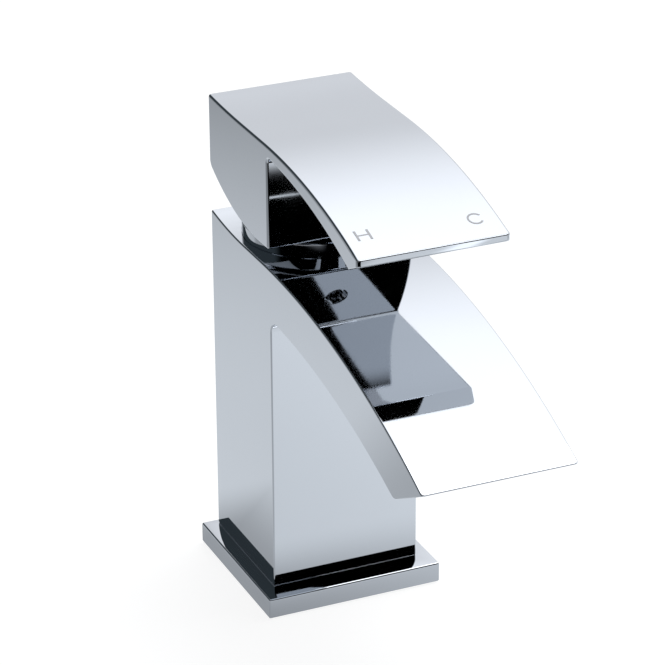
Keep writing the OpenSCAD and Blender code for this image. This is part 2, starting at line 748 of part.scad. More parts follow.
module lever_outline() {
    heel_low = block_c + (heel_c - block_c) * block_arc_r / (block_arc_r - block_round);
    cove_top = under_c + (lever_cove - under_c) * under_arc_r / (under_arc_r - block_fillet);
    edge = back_round;
    difference() {
        intersection() {
            union() {
                translate(lever_c) circle(lever_arc_r, $fn = 360);
                translate([-lever_start, 0]) square([lever_start + lever_back, lever_top]);
                swept_up(0, lever_back, lever_top, lever_high, lever_sweep_r);
            }
            union() {
                intersection() {
                    translate(block_c) circle(block_arc_r, $fn = 360);
                    translate([-block_front, 0]) square([block_front + lever_back, lever_high]);
                }
                difference() {
                    polygon([[-lever_reach, lever_top], [-lever_reach, lip_top - lip_face],
                        [-lever_reach + block_front, lip_top - lip_face - block_front * tan(lip_cut)],
                        [-under_start, lip_top - lip_face - block_front * tan(lip_cut)],
                        [-under_start, lever_top]]);
                    translate(under_c) circle(under_arc_r, $fn = 360);
                }
                corner_web(lever_cove, [-block_front, lever_cove[1]],
                    [-block_front, cove_top[1] + over / 2], cove_top + [0, over / 4], block_fillet);
            }
        }
        corner_web(heel_c, [lever_back + over, heel_c[1]], [lever_back + over, heel_low[1] - over],
            heel_low - [0, over / 4], block_round);
        corner_web([lever_back - edge, lever_high - edge], [lever_back - edge, lever_high + over],
            [lever_back + over, lever_high + over], [lever_back + over, lever_high - edge], edge);
    }
}

module lever() color("silver") difference() {
    in_plan(lever_w, -lever_reach, lever_back, lever_round, column_top, lever_high)
        across(2 * lever_w) lever_outline();
    translate([0, 0, pivot_z]) sphere(r = hollow_r);
    translate([-bush_w / 2 - fit, -bush_w / 2 - fit, pivot_z])
        cube([bush_w + 2 * fit, bush_w + 2 * fit, stem_top - pivot_z + fit]);
    translate([0, -bush_w / 2, grub_z]) rotate([90, 0, 0]) cylinder(d = grub_d, h = lever_back);
    translate([0, -block_front + grub_mouth, grub_z]) rotate([90, 0, 0])
        cylinder(d = grub_mouth_d, h = lever_back);
}

module stem_bush() color("white") difference() {
    translate([-bush_w / 2, -bush_w / 2, bush_z]) cube([bush_w, bush_w, stem_top - bush_z]);
    translate([-stem_w / 2 - running, -stem_w / 2 - running, bush_z - over])
        cube([stem_w + 2 * running, stem_w + 2 * running, stem_top]);
    translate([0, 0, grub_z]) rotate([90, 0, 0]) cylinder(d = grub_d + fit, h = bush_w);
}

module grub_screw() color("dimgray") translate([0, -stem_w / 2, grub_z]) rotate([90, 0, 0])
    difference() {
        cylinder(d = grub_d, h = grub_l);
        translate([0, 0, grub_l - grub_socket])
            cylinder(d = grub_hex, h = grub_socket + over, $fn = 6);
    }

module outlet_insert() color("whitesmoke") at_outlet() {
    pitch_x = (outlet_w - 2 * slot_rim + slot_wall) / slot_count;
    pitch_y = (outlet_d - 2 * slot_rim + slot_wall) / slot_rows;
    difference() {
        translate([-outlet_w / 2, -outlet_d / 2, outlet_sunk]) cube([outlet_w, outlet_d, outlet_t]);
        for (i = [0:slot_count - 1], j = [0:slot_rows - 1])
            translate([-outlet_w / 2 + slot_rim + i * pitch_x,
                -outlet_d / 2 + slot_rim + j * pitch_y, outlet_sunk - over])
                cube([pitch_x - slot_wall, pitch_y - slot_wall, outlet_t + 2 * over]);
    }
}

module outlet_seal() color("black") at_outlet()
    translate([0, 0, outlet_sunk + outlet_t]) difference() {
        translate([-outlet_w / 2, -outlet_d / 2, 0]) cube([outlet_w, outlet_d, outlet_seal_t]);
        translate([-outlet_w / 2 + outlet_seal_w, -outlet_d / 2 + outlet_seal_w, -over])
            cube([outlet_w - 2 * outlet_seal_w, outlet_d - 2 * outlet_seal_w,
                outlet_seal_t + 2 * over]);
    }

body_casting();
base_plate();
base_gasket();
joint_seal();
plate_screws();
cartridge_housing();
base_seal();
disc_seal();
fixed_disc();
moving_disc();
disc_carrier();
rotor();
rotor_ring();
housing_cap();
pivot_pin();
stem();
retaining_nut();
collar_ring();
collar();
lever();
stem_bush();
grub_screw();
outlet_insert();
outlet_seal();
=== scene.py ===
import math

import bmesh
import bpy
from bpy.props import FloatProperty, FloatVectorProperty, PointerProperty
from mathutils import Matrix, Vector


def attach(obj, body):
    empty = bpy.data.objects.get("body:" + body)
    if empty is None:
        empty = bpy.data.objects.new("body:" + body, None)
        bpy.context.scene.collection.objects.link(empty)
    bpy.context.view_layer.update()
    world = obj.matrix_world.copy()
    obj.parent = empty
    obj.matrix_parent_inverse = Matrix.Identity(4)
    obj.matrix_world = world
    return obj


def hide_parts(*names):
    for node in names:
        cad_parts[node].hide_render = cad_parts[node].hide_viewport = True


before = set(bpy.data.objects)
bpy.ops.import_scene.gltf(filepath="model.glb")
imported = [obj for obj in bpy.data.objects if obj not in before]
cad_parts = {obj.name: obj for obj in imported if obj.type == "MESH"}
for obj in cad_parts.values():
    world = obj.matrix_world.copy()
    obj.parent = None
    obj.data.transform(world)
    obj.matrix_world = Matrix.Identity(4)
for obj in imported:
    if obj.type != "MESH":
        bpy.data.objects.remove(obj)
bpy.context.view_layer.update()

bl_info = {
    "name": "Basin mixer tap",
    "version": (1, 0, 0),
    "blender": (4, 5, 0),
    "location": "3D View > Sidebar > Mixer tap",
    "description": "Models the chrome pieces, finishes and stage of a single-lever basin "
                   "mixer tap",
    "category": "Add Mesh",
}

MM = 0.001

# Places closer than this count as one, in metres
NEAR = 0.001 * MM

# The pieces' sizes are in millimetres, and a (y, z) pair is a place in the side view.
# Heights of the upright axis's pieces above the deck
PLATE_LOW, PLATE_TOP = 0.4, 6.4
COLUMN_TOP, NUT_SEAT, CARTRIDGE_SEAT = 98.2, 86.2, 67.0
PIVOT_Z, GRUB_Z = 93.0, 114.0
# Above everything, where upright cutters end
ABOVE = 140.0
# The two plate screws stand on opposite corners, this far from the axis
SCREW_X, SCREW_Y = 15.505, 14.458
# Height, radius and centre of the arc of the lever's top
LEVER_TOP, LEVER_TOP_R = 131.5, 175.0
LEVER_TOP_C = (-15.0, LEVER_TOP - LEVER_TOP_R)
# Steps of the bevel that rounds a polished edge
EDGE_STEPS = 4


# ---------------------------------------------------------------- drawing in edit mode

def only(piece):
    """Makes one object the only selected and the active one."""
    bpy.ops.object.select_all(action="DESELECT")
    piece.select_set(True)
    bpy.context.view_layer.objects.active = piece


def add(primitive, **settings):
    """Adds a primitive with nothing else selected, and returns it."""
    bpy.ops.object.select_all(action="DESELECT")
    primitive(**settings)
    return bpy.context.object


def choose(piece, mode, test):
    """Selects the vertices, edges or faces that pass a test on their place or normal."""
    bpy.ops.mesh.select_mode(type=mode)
    bpy.ops.mesh.select_all(action="DESELECT")
    bm = bmesh.from_edit_mesh(piece.data)
    for part in {"VERT": bm.verts, "EDGE": bm.edges, "FACE": bm.faces}[mode]:
        part.select_set(bool(test(part)))
    bm.select_flush_mode()
    bmesh.update_edit_mesh(piece.data)


def choose_points(piece, points):
    """Selects the vertices nearest to the given points."""
    bpy.ops.mesh.select_mode(type="VERT")
    bpy.ops.mesh.select_all(action="DESELECT")
    bm = bmesh.from_edit_mesh(piece.data)
    for point in points:
        min(bm.verts, key=lambda v: (v.co - point).length_squared).select_set(True)
    bm.select_flush_mode()
    bmesh.update_edit_mesh(piece.data)


def start_point(name, place):
    """A mesh of one vertex, left in edit mode and selected."""
    piece = add(bpy.ops.mesh.primitive_plane_add, size=MM, location=(0, 0, 0))
    piece.name = piece.data.name = name
    bpy.ops.object.mode_set(mode="EDIT")
    bpy.ops.mesh.select_mode(type="VERT")
    bpy.ops.mesh.select_all(action="SELECT")
    bpy.ops.mesh.merge(type="CENTER")
    bpy.ops.transform.translate(value=place)
    return piece


def draw_loop(name, points):
    """A closed chain of edges through points, all selected and left in edit mode."""
    piece = start_point(name, points[0])
    for here, there in zip(points, points[1:]):
        bpy.ops.mesh.extrude_vertices_move(TRANSFORM_OT_translate={"value": there - here})
    choose_points(piece, [points[0], points[-1]])
    bpy.ops.mesh.edge_face_add()
    bpy.ops.mesh.select_all(action="SELECT")
    return piece


def draw_prism(name, outline, depth):
    """A closed outline, filled and extruded by the vector depth. Ends in object mode."""
    piece = draw_loop(name, outline)
    bpy.ops.mesh.edge_face_add()
    bpy.ops.mesh.select_all(action="SELECT")
    bpy.ops.mesh.extrude_region_move(TRANSFORM_OT_translate={"value": depth})
    close_up(piece)
    return piece


def close_up(piece):
    """Merges doubles, turns the faces outwards and leaves edit mode."""
    bpy.ops.mesh.select_all(action="SELECT")
    bpy.ops.mesh.remove_doubles(threshold=NEAR)
    bpy.ops.mesh.normals_make_consistent(inside=False)
    # The operator can choose the wrong side on a piece with a thin lip, as the volume shows
    if bmesh.from_edit_mesh(piece.data).calc_volume(signed=True) < 0:
        bpy.ops.mesh.flip_normals()
    bpy.ops.object.mode_set(mode="OBJECT")


def draw_band(name, outline, width, plan_r, front_ys, top_z, low_z):
    """A closed band across X that follows a side outline, left in edit mode.

    Its width is rounded by plan_r at the two front corners of its plan. front_ys are the places
    of the outline's points in that zone, from the front backwards, and top_z and low_z give its
    heights there. Zone and side walls are filled, and as the zone is flat above and below, the
    lines across it are dissolved.
    """
    def station(y, z):
        return y * MM, z * MM, plan_half(width, front_ys[0], plan_r, y) * MM

    stations = [station(*point) for point in outline]
    corner = [(station(y, top_z(y)), station(y, low_z(y))) for y in front_ys]
    y, z, half = stations[0]
    piece = start_point(name, (-half, y, z))
    bpy.ops.mesh.extrude_vertices_move(TRANSFORM_OT_translate={"value": (2 * half, 0, 0)})
    bpy.ops.mesh.select_all(action="SELECT")
    for here, there in zip(stations, stations[1:]):
        step = (0, there[0] - here[0], there[1] - here[1])
        bpy.ops.mesh.extrude_region_move(TRANSFORM_OT_translate={"value": step})
        if abs(there[2] - here[2]) > NEAR:
            bpy.ops.transform.resize(value=(there[2] / here[2], 1, 1), center_override=(0, 0, 0))

    def at(station, side):
        return Vector((side * station[2], station[0], station[1]))

    choose_points(piece, [at(s, side) for s in (stations[0], stations[-1]) for side in (-1, 1)])
    bpy.ops.mesh.edge_face_add()
    for side in (-1, 1):
        for (top, low), (top_next, low_next) in zip(corner, corner[1:]):
            corners = [at(top, side), at(top_next, side), at(low_next, side), at(low, side)]
            choose_points(piece, corners)
            bpy.ops.mesh.edge_face_add()
        choose(piece, "EDGE", lambda e: e.is_boundary and e.verts[0].co.x * side > 0
               and e.verts[1].co.x * side > 0)
        bpy.ops.mesh.edge_face_add()
    first, last = front_ys[0] * MM + NEAR, front_ys[-1] * MM - NEAR
    flat_angle, open_angle = 0.001, 1.0
    choose(piece, "EDGE", lambda e: e.verts[0].co.x * e.verts[1].co.x < 0
           and all(first < v.co.y < last for v in e.verts)
           and e.calc_face_angle(open_angle) < flat_angle)
    bpy.ops.mesh.dissolve_edges(use_verts=False)
    bpy.ops.mesh.select_all(action="SELECT")
    bpy.ops.mesh.normals_make_consistent(inside=False)
    return piece


def is_strip(face):
    """Whether a face of a band runs across the full width."""
    xs = [v.co.x for v in face.verts]
    return min(xs) < 0 < max(xs)


def crease(piece, test, weight):
    """Gives the chosen edges a bevel weight."""
    choose(piece, "EDGE", test)
    bpy.ops.transform.edge_bevelweight(value=weight)


def side_edge(edge, nose):
    """Whether an edge lies between a band's strip and its side wall, behind the band's nose."""
    return (len(edge.link_faces) == 2 and sum(is_strip(f) for f in edge.link_faces) == 1
            and max(v.co.y for v in edge.verts) > nose * MM + NEAR)


def crease_sides(piece, front_ys, fading):
    """Bevel weights of a band's long edges: 1, but fading towards the nose."""
    nose = front_ys[0]
    crease(piece, lambda e: side_edge(e, nose)
           and min(v.co.y for v in e.verts) > front_ys[len(fading)] * MM - NEAR, 1.0)
    for y, weight in zip(front_ys, fading):
        crease(piece, lambda e: side_edge(e, nose)
               and abs(min(v.co.y for v in e.verts) - y * MM) < NEAR, weight)


def crease_across(piece, y, z, weight):
    """Gives a bevel weight to the edge across a band at a place of its side outline."""
    def is_there(vertex):
        return abs(vertex.co.y - y * MM) < NEAR and abs(vertex.co.z - z * MM) < NEAR

    crease(piece, lambda e: e.verts[0].co.x * e.verts[1].co.x < 0
           and all(is_there(v) for v in e.verts), weight)


# ---------------------------------------------------------------- finishing with modifiers

def apply_modifier(piece, name, kind, **settings):
    """Adds a modifier with the given settings and applies it at once."""
    only(piece)
    modifier = piece.modifiers.new(name, kind)
    for key, value in settings.items():
        setattr(modifier, key, value)
    bpy.ops.object.modifier_apply(modifier=modifier.name)


def cut(piece, tool):
    """Cuts a tool's shape out of a piece and removes the tool."""
    apply_modifier(piece, "Cut", "BOOLEAN", object=tool, operation="DIFFERENCE", solver="EXACT")
    bpy.data.objects.remove(tool, do_unlink=True)


def join_on(piece, other):
    """Joins another shape to a piece and removes the other object."""
    apply_modifier(piece, "Join", "BOOLEAN", object=other, operation="UNION", solver="EXACT")
    bpy.data.objects.remove(other, do_unlink=True)


def round_edges(piece, width, segments, **limit):
    """Bevels the edges that the limit settings name."""
    apply_modifier(piece, "Edges", "BEVEL", width=width, segments=segments,
                   use_clamp_overlap=False, **limit)


def smooth(piece):
    """Smooth shading whose large faces stay flat, with hard edges where the surface turns."""
    only(piece)
    bpy.ops.object.mode_set(mode="EDIT")
    close_up(piece)
    bpy.ops.object.shade_smooth_by_angle(angle=math.radians(35))
    apply_modifier(piece, "Normals", "WEIGHTED_NORMAL", keep_sharp=True, weight=50)


def drill(radius, low, high, x=0.0, y=0.0, sides=96):
    """An upright cutter, all in millimetres."""
    return add(bpy.ops.mesh.primitive_cylinder_add, vertices=sides, radius=radius * MM,
               depth=(high - low) * MM, location=(x * MM, y * MM, (low + high) / 2 * MM))


def block(size, centre, tilt=0.0):
    """A box in millimetres, tilted about X in degrees."""
    box = add(bpy.ops.mesh.primitive_cube_add, size=1, location=[c * MM for c in centre],
              rotation=(math.radians(tilt), 0, 0))
    box.scale = [s * MM for s in size]
    bpy.ops.object.transform_apply(location=True, rotation=True, scale=True)
    return box


# ---------------------------------------------------------------- outline geometry

def above(centre, radius, y):
    """Height at y of a circle's upper half."""
    return centre[1] + math.sqrt(radius * radius - (y - centre[0]) ** 2)


def below(centre, radius, y):
    """Height at y of a circle's lower half."""
    return centre[1] - math.sqrt(radius * radius - (y - centre[0]) ** 2)


def arc(centre, radius, start, end, steps):
    """Points on a circle in the side view from angle start to end, in degrees."""
    return [(centre[0] + radius * math.cos(math.radians(start + (end - start) * i / steps)),
             centre[1] + radius * math.sin(math.radians(start + (end - start) * i / steps)))
            for i in range(steps + 1)]


def angle_of(centre, point):
    """The direction from a centre to a point, in degrees."""
    return math.degrees(math.atan2(point[1] - centre[1], point[0] - centre[0]))


def toward(centre, point, share):
    """The place at a share of the way from a centre to a point."""
    return (centre[0] + (point[0] - centre[0]) * share,
            centre[1] + (point[1] - centre[1]) * share)


def meet(point, along, centre, radius):
    """Where a line from a point first meets a circle."""
    q = Vector(point) - Vector(centre)
    u = Vector(along)
    b = q.dot(u)
    return Vector(point) + u * (-b - math.sqrt(b * b - q.dot(q) + radius * radius))


def spread(points, gap=1e-4):
    """Drops points that come closer than a gap to the one before."""
    kept = [points[0]]
    for p in points[1:]:
        if math.dist(p[:2], kept[-1][:2]) > gap:
            kept.append(p)
    return kept


def plan_half(width, front, radius, y):
    """Half the width at y of a plan whose two front corners are rounded."""
    back = radius - (y - front)
    if back <= 0:
        return width / 2
    return width / 2 - radius + math.sqrt(max(0.0, radius * radius - back * back))


def corner_ys(front, radius, steps):
    """Places of the stations in the zone of a rounded plan corner, from the front backwards."""
    turns = [0.0] + [90.0 * i / steps for i in range(2, steps + 1)]
    return [front + radius * (1 - math.cos(math.radians(a))) for a in turns]


def lip_line(centre, radius, nose, run):
    """Height over y of a top that follows a circle, but goes straight for a run at its nose."""
    end = nose + run

    def top_z(y):
        share = min(1.0, max(0.0, (end - y) / run))
        fall = above(centre, radius, nose) - above(centre, radius, end)
        return above(centre, radius, max(y, end)) + share * fall
    return top_z


# ---------------------------------------------------------------- values that a user would change

class TapSizes(bpy.types.PropertyGroup):
    """Sizes of the modelled pieces"""
    column_width: FloatProperty(
        name="Column width", description="Width of the column and the spout",
        default=41.8 * MM, unit="LENGTH")
    spout_reach: FloatProperty(
        name="Spout reach", description="From the upright axis to the spout's lip",
        default=110.4 * MM, unit="LENGTH")
    lever_width: FloatProperty(
        name="Lever width", description="Width of the lever", default=41.1 * MM, unit="LENGTH")
    lever_reach: FloatProperty(
        name="Lever reach", description="From the upright axis to the lever's lip",
        default=73.2 * MM, unit="LENGTH")
    plate_width: FloatProperty(
        name="Base plate width", description="Width of the base plate",
        default=50.0 * MM, unit="LENGTH")
    collar_width: FloatProperty(
        name="Collar diameter", description="Outer diameter of the collar",
        default=37.8 * MM, unit="LENGTH")
    body_edge: FloatProperty(
        name="Body edges", description="Rounding of the polished edges of body and base plate",
        default=0.45 * MM, unit="LENGTH")
    lever_edge: FloatProperty(
        name="Lever edges", description="Rounding of the lever's polished edges",
        default=0.7 * MM, unit="LENGTH")
    letter_height: FloatProperty(
        name="Letter height", description="Height of the hot and cold letters",
        default=3.8 * MM, unit="LENGTH")


class TapFinishes(bpy.types.PropertyGroup):
    """Colours and glosses of the pieces"""
    chrome_colour: FloatVectorProperty(
        name="Chrome", description="Colour of the polished chrome",
        default=(0.590, 0.613, 0.648), subtype="COLOR", min=0, max=1)
    chrome_roughness: FloatProperty(
        name="Chrome roughness", description="Blur of the reflections in the chrome",
        default=0.035, min=0, max=1, subtype="FACTOR")
    letter_colour: FloatVectorProperty(
        name="Letters", description="Colour of the hot and cold letters",
        default=(0.30, 0.30, 0.305), subtype="COLOR", min=0, max=1)
    brass_colour: FloatVectorProperty(
        name="Brass", description="Colour of the machined brass",
        default=(0.80, 0.60, 0.28), subtype="COLOR", min=0, max=1)
    floor_colour: FloatVectorProperty(
        name="Floor", description="Colour of the floor",
        default=(0.93, 0.93, 0.93), subtype="COLOR", min=0, max=1)


# ---------------------------------------------------------------- materials

class Shader:
    """A small helper that adds and links the nodes of one material or world."""

    def __init__(self, tree):
        self.tree = tree
        tree.nodes.clear()

    def add(self, kind, inputs=None, **settings):
        """A new node. Its inputs take values or the outputs of other nodes."""
        node = self.tree.nodes.new(kind)
        for key, value in settings.items():
            setattr(node, key, value)
        for key, value in (inputs or {}).items():
            if isinstance(value, bpy.types.NodeSocket):
                self.tree.links.new(value, node.inputs[key])
            else:
                node.inputs[key].default_value = value
        return node

    def math(self, operation, a, b=0.0, clamp=False):
        return self.add("ShaderNodeMath", {0: a, 1: b}, operation=operation,
                        use_clamp=clamp).outputs[0]

    def times(self, first, *others):
        """The product of several values."""
        for other in others:
            first = self.math("MULTIPLY", first, other)
        return first

    def ramp(self, value, low, high, to_low=0.0, to_high=1.0, shape="SMOOTHSTEP"):
        """A change from to_low to to_high while value goes from low to high."""
        return self.add("ShaderNodeMapRange", {
            "Value": value, "From Min": low, "From Max": high,
            "To Min": to_low, "To Max": to_high}, interpolation_type=shape).outputs[0]

    def noise(self, scale):
        place = self.add("ShaderNodeTexCoord").outputs["Object"]
        return self.add("ShaderNodeTexNoise", {
            "Vector": place, "Scale": scale, "Detail": 3.0}).outputs["Fac"]

    def seen(self):
        """1 for what the camera sees, also through something clear, and 0 for other rays."""
        path = self.add("ShaderNodeLightPath")
        return self.math("ADD", path.outputs["Is Camera Ray"],
                         path.outputs["Is Transmission Ray"], clamp=True)


def finish(name, colour, metal=0.0, rough=0.4, grain=600.0, rough_spread=0.05,
           relief=0.0, tone=0.04):
    """A procedural finish: fine changes of tone, gloss and relief over one base colour."""
    material = bpy.data.materials.get(name)
    if material:
        return material
    material = bpy.data.materials.new(name)
    material.use_nodes = True
    s = Shader(material.node_tree)
    noise = s.noise(grain)
    dark = tuple(c * (1 - tone) for c in colour) + (1,)
    light = tuple(min(1, c * (1 + tone)) for c in colour) + (1,)
    # The first colour inputs of this node are numbers 6 and 7
    mix = s.add("ShaderNodeMix", {6: dark, 7: light}, data_type="RGBA")
    s.tree.links.new(noise, mix.inputs["Factor"])
    roughness = s.ramp(noise, 0.3, 0.7, max(0, rough - rough_spread), rough + rough_spread)
    shader = s.add("ShaderNodeBsdfPrincipled", {
        "Base Color": mix.outputs[2], "Metallic": metal, "Roughness": roughness})
    if relief:
        bump = s.add("ShaderNodeBump", {
            "Height": noise, "Strength": relief, "Distance": 0.05 * MM}).outputs[0]
        s.tree.links.new(bump, shader.inputs["Normal"])
    s.add("ShaderNodeOutputMaterial", {"Surface": shader.outputs[0]})
    return material


def chrome():
    """The polished chrome that all modelled pieces share."""
    looks = bpy.context.scene.tap_finishes
    return finish("polished_chrome", looks.chrome_colour, metal=1.0,
                  rough=looks.chrome_roughness, rough_spread=0.012, grain=90.0, tone=0.01)


def dress(piece, material):
    """Gives a piece one material in place of any others."""
    piece.data.materials.clear()
    piece.data.materials.append(material)


# ---------------------------------------------------------------- pieces

def cut_seats(body):
    """Spigot of the column, its seats for collar, nut and cartridge, and its holes from below."""
    # Spigot into the base plate, with the groove of the flat seal round it
    over, spigot_r, spigot_low, seal_r, groove_top = 1.0, 15.85, 3.4, 17.6, 7.6
    join_on(body, drill(spigot_r, spigot_low, PLATE_TOP + over))
    groove = drill(seal_r, spigot_low - over, groove_top)
    cut(groove, drill(spigot_r, spigot_low - 2 * over, groove_top + over))
    cut(body, groove)
    # Seats of the collar, the retaining nut and the cartridge
    collar_seat_r, nut_r, cartridge_r = 19.05, 15.0, 12.5
    cut(body, drill(collar_seat_r, COLUMN_TOP, ABOVE, sides=128))
    cut(body, drill(nut_r, NUT_SEAT, ABOVE))
    cut(body, drill(cartridge_r, CARTRIDGE_SEAT, ABOVE))
    # Hose inlets with their channels, holes of the plate screws, hole of the stud
    foot = 2.0
    inlet_x, inlet_y, inlet_r, inlet_top = 6.384, -4.306, 4.5, 14.4
    channel_r, channel_low, channel_top = 2.6, 10.0, 70.0
    screw_r, screw_low, screw_top = 1.5, 6.0, 13.4
    stud_y, stud_r, stud_top = 9.0, 3.4, 19.4
    for side in (-1, 1):
        x = side * inlet_x
        cut(body, drill(inlet_r, foot, inlet_top, x=x, y=inlet_y, sides=48))
        cut(body, drill(channel_r, channel_low, channel_top, x=x, y=inlet_y, sides=32))
        cut(body, drill(screw_r, screw_low, screw_top, x=side * SCREW_X, y=side * SCREW_Y,
                        sides=24))
    cut(body, drill(stud_r, foot, stud_top, y=stud_y, sides=48))


class TAP_OT_body(bpy.types.Operator):
    """One-piece column and spout with its seats for cartridge, collar, outlet, hoses and stud"""
    bl_idname = "tap.body"
    bl_label = "Body"

    def execute(self, context):
        sizes = context.scene.tap_sizes
        width, reach = sizes.column_width / MM, sizes.spout_reach / MM
        half_d, plan_r, thick, cut_angle = 19.9, 1.0, 13.9, 27.0
        top_r = 226.0
        top_c, under_r = (-13.0, COLUMN_TOP - top_r), top_r - thick
        sweep_r, sweep_y = 130.0, -2.0
        tip_r, cove_r = 3.0, 3.5
        along = (math.cos(math.radians(cut_angle)), -math.sin(math.radians(cut_angle)))
        inward = (-along[1], along[0])
        # The sharp lip is blunted a little, as polishing leaves it
        blunt = 0.3
        nose = -reach + blunt
        front_ys = corner_ys(nose, plan_r, 4)
        top_z = lip_line(top_c, top_r, nose, plan_r)
        lip = (-reach, above(top_c, top_r, -reach))

        def face_z(y):
            return lip[1] - (y + reach) * math.tan(math.radians(cut_angle))

        tip_start = (lip[0] + inward[0] * tip_r, lip[1] + inward[1] * tip_r)
        tip_c = meet(tip_start, along, top_c, under_r + tip_r)
        tip_face = (tip_c[0] - inward[0] * tip_r, tip_c[1] - inward[1] * tip_r)
        tip_low = toward(top_c, tip_c, under_r / (under_r + tip_r))
        cove_y = -half_d - cove_r
        cove_c = (cove_y, above(top_c, under_r - cove_r, cove_y))
        cove_top = toward(top_c, cove_c, under_r / (under_r - cove_r))

        # Side outline: from the upper back edge forward over the top, back along the underside
        sweep_c = (sweep_y, COLUMN_TOP + sweep_r)
        back_z = below(sweep_c, sweep_r, half_d)
        outline = arc(sweep_c, sweep_r, angle_of(sweep_c, (half_d, back_z)), -90, 8)
        outline.append((top_c[0], COLUMN_TOP))
        straight = angle_of(top_c, (front_ys[-1], top_z(front_ys[-1])))
        outline += arc(top_c, top_r, 90, straight, 36)[1:]
        outline += [(y, top_z(y)) for y in reversed(front_ys[:-1])]
        outline += [(y, face_z(y)) for y in front_ys]
        outline += arc(tip_c, tip_r, angle_of(tip_c, tip_face), angle_of(tip_c, tip_low), 8)
        outline += arc(top_c, under_r, angle_of(top_c, tip_low), angle_of(top_c, cove_top), 30)
        outline += arc(cove_c, cove_r, angle_of(cove_c, cove_top), 0, 8)
        outline += [(-half_d, PLATE_TOP), (half_d, PLATE_TOP)]
        body = draw_band("tap_body", spread(outline), width, plan_r, front_ys, top_z, face_z)

        # The rounding of the long edges fades towards the thin lip
        fading, back_weight, foot_weight = (0.25, 0.55, 0.85), 0.9, 0.4
        crease_sides(body, front_ys, fading)
        for y, z, weight in ((nose, top_z(nose), fading[0]), (nose, face_z(nose), fading[0]),
                             (half_d, back_z, back_weight), (-half_d, PLATE_TOP, foot_weight),
                             (half_d, PLATE_TOP, foot_weight)):
            crease_across(body, y, z, weight)
        bpy.ops.object.mode_set(mode="OBJECT")
        round_edges(body, sizes.body_edge, EDGE_STEPS, limit_method="WEIGHT")
        cut_seats(body)

        # The outlet's pocket and the chamber behind it, in the undercut end face
        pocket, chamber = (34.3, 9.3, 4.1), (31.6, 6.6, 6.3)
        face_end = meet(lip, along, top_c, under_r)
        middle = ((lip[0] + face_end[0]) / 2, (lip[1] + face_end[1]) / 2)
        shift, over = 1.9, 0.5
        for size_x, size_y, depth in (pocket, chamber):
            sink = depth / 2 - over
            centre = (0, middle[0] + along[0] * shift + inward[0] * sink,
                      middle[1] + along[1] * shift + inward[1] * sink)
            cut(body, block((size_x, size_y, depth + 2 * over), centre, tilt=-cut_angle))
        smooth(body)
        dress(body, chrome())
        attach(body, "base")
        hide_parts("body_casting")
        return {"FINISHED"}


class TAP_OT_base_plate(bpy.types.Operator):
    """Nearly square base plate with its throat, gasket groove and countersunk screw holes"""
    bl_idname = "tap.base_plate"
    bl_label = "Base plate"

    def execute(self, context):
        sizes = context.scene.tap_sizes
        width = sizes.plate_width / MM
        front, back = -26.1, 22.1
        middle, depth = (front + back) / 2, back - front
        # Polishing leaves the top a little lower towards its edges: heights at steps inwards
        sag, rim, step = 0.34, 1.0, 0.25
        insets = [0.0] + [rim + step * i for i in range(11)]
        tops = [PLATE_TOP - sag * (1 - inset / insets[-1]) ** 2 for inset in insets]
        plate = block((width, depth, tops[0] - PLATE_LOW), (0, middle, (PLATE_LOW + tops[0]) / 2))
        plate.name = plate.data.name = "tap_base_plate"
        bpy.ops.object.mode_set(mode="EDIT")
        choose(plate, "FACE", lambda f: f.normal.z > 0.9)
        for i in range(1, len(insets)):
            bpy.ops.mesh.inset(thickness=(insets[i] - insets[i - 1]) * MM,
                               depth=(tops[i] - tops[i - 1]) * MM)
        bpy.ops.object.mode_set(mode="OBJECT")
        round_edges(plate, sizes.body_edge, EDGE_STEPS, limit_method="ANGLE",
                    angle_limit=math.radians(40))
        throat_r, under, over = 16.0, -1.0, 8.0
        cut(plate, drill(throat_r, under, over, sides=128))
        gasket_inset, gasket_w, groove_d = 1.4, 2.4, 1.0
        outer, inner = 2 * gasket_inset, 2 * (gasket_inset + gasket_w)
        groove = block((width - outer, depth - outer, 2 * groove_d), (0, middle, PLATE_LOW))
        cut(groove, block((width - inner, depth - inner, 4 * groove_d), (0, middle, PLATE_LOW)))
        cut(plate, groove)
        # Countersunk holes, whose cones start half a millimetre below the plate
        hole_r, cone_r, cone_h, cone_z = 1.65, 3.33, 2.2, PLATE_LOW + 0.6
        for side in (-1, 1):
            x, y = side * SCREW_X, side * SCREW_Y
            cut(plate, drill(hole_r, under, over, x=x, y=y, sides=32))
            cut(plate, add(bpy.ops.mesh.primitive_cone_add, vertices=48, radius1=cone_r * MM,
                           radius2=hole_r * MM, depth=cone_h * MM,
                           location=(x * MM, y * MM, cone_z * MM)))
        smooth(plate)
        dress(plate, chrome())
        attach(plate, "base")
        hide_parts("base_plate")
        return {"FINISHED"}


